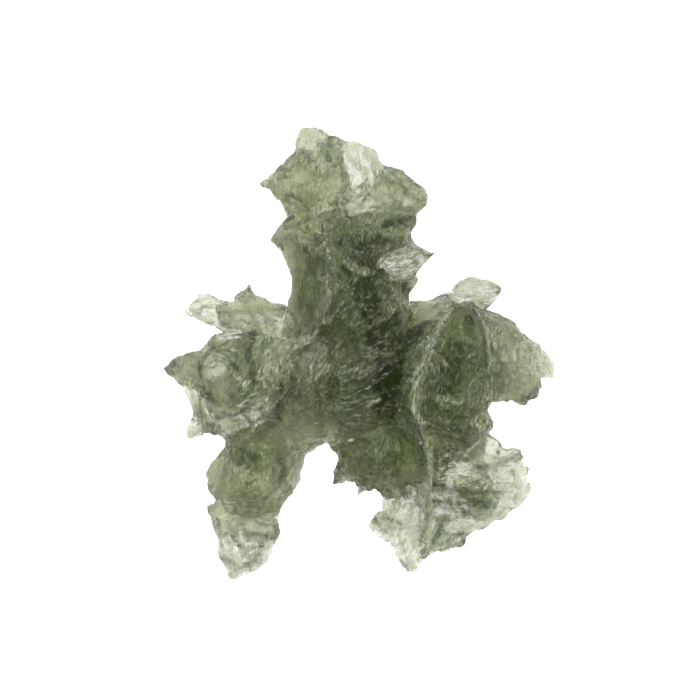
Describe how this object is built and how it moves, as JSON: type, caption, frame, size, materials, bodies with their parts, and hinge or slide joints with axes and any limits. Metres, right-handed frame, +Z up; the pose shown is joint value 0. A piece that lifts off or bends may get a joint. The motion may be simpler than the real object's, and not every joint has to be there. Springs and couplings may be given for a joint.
{
  "type": "moldavite",
  "caption": "Deeply etched, spiky piece of green natural glass with ridged lobes, sharp crests and scooped hollows, lying on its back.",
  "frame": {"origin": "middle of the bounding box in plan, on the floor that the stone lies on", "axes": "+Z up out of the face that shows, +Y along the longest lobe, +X across to the thick ridged lobe"},
  "size_m": [0.0336, 0.0386, 0.0154],
  "materials": {
    "green_glass": "satin"
  },
  "bodies": {
    "root": {"moldavite": "green_glass"}
  },
  "joints": []
}
